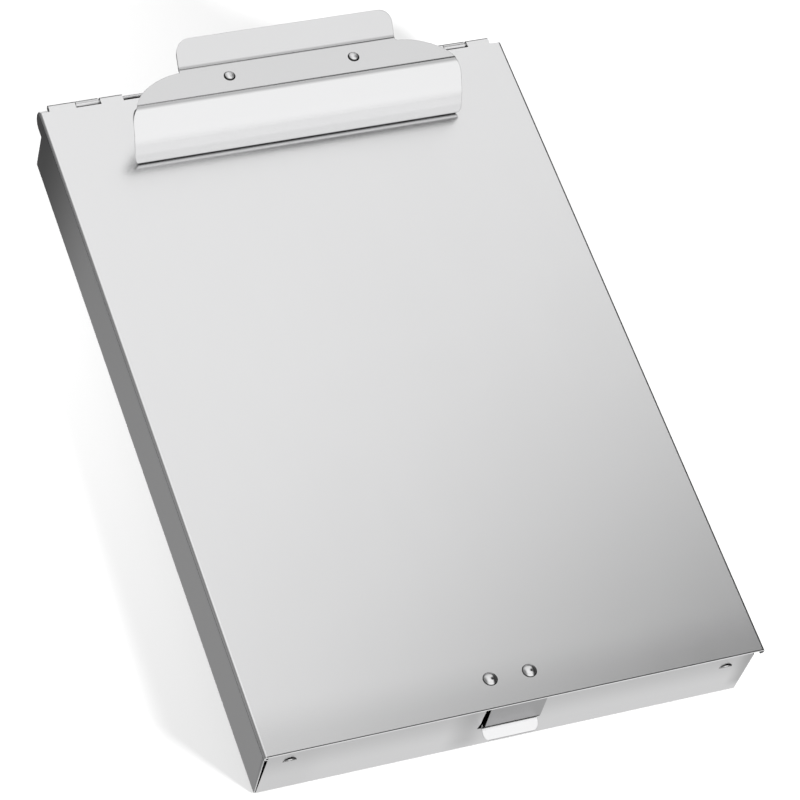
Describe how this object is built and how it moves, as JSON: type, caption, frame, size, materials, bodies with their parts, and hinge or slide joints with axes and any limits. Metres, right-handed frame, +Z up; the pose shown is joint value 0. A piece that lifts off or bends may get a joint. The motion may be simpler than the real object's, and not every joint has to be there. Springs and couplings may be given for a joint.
{
  "type": "storage clipboard",
  "caption": "Aluminium form holder: shallow folded-sheet tray with a full-length hinged lid, a wide sprung paper clip on the lid and a sprung front latch.",
  "frame": {"origin": "middle of the underside of the tray, in the plane it rests on", "axes": "+Z up, +Y from the latch end to the hinge and clip end, +X to the right when seen from the latch end"},
  "size_m": [0.2286, 0.3538, 0.068],
  "materials": {
    "tray_sheet": "satin brushed sheet",
    "lid_sheet": "satin brushed sheet",
    "rod_steel": "drawn wire",
    "clip_plate": "satin nickel plate",
    "rivet_bright": "polished dome",
    "rivet_plain": "plain",
    "leaf_steel": "plated steel",
    "pin_steel": "plated steel",
    "spring_steel": "spring wire",
    "latch_steel": "plain spring strip"
  },
  "bodies": {
    "tray": {"tray_pan": "tray_sheet", "hinge_rod": "rod_steel"},
    "lid": {"lid_panel": "lid_sheet", "clip_base_leaf": "leaf_steel", "clip_base_rivets": "rivet_plain", "clip_pivot_pin": "pin_steel", "clip_springs": "spring_steel", "latch_rivets": "rivet_bright"},
    "clip": {"clip_lever": "clip_plate", "clip_lever_rivets": "rivet_bright", "clip_upper_leaf": "leaf_steel"},
    "latch": {"latch_spring": "latch_steel"}
  },
  "joints": [
    {"name": "lid_hinge", "type": "hinge", "parent": "tray", "child": "lid", "pos_m": [0, 0.1751, 0.0322], "axis": [-1, 0, 0], "range_deg": [0, 140], "deforming": ["latch_spring"]},
    {"name": "clip_lever", "type": "hinge", "parent": "lid", "child": "clip", "pos_m": [0.00015, 0.158, 0.047], "axis": [-1, 0, 0], "range_deg": [0, 25], "stiffness_Nm_per_rad": 1.2, "springref_deg": -20.05, "deforming": ["clip_springs"]},
    {"name": "latch_flex", "type": "hinge", "parent": "lid", "child": "latch", "pos_m": [0, -0.168, 0.0329], "axis": [1, 0, 0], "range_deg": [0, 5], "stiffness_Nm_per_rad": 2, "springref_deg": -1.15, "deforming": ["latch_spring"]}
  ]
}
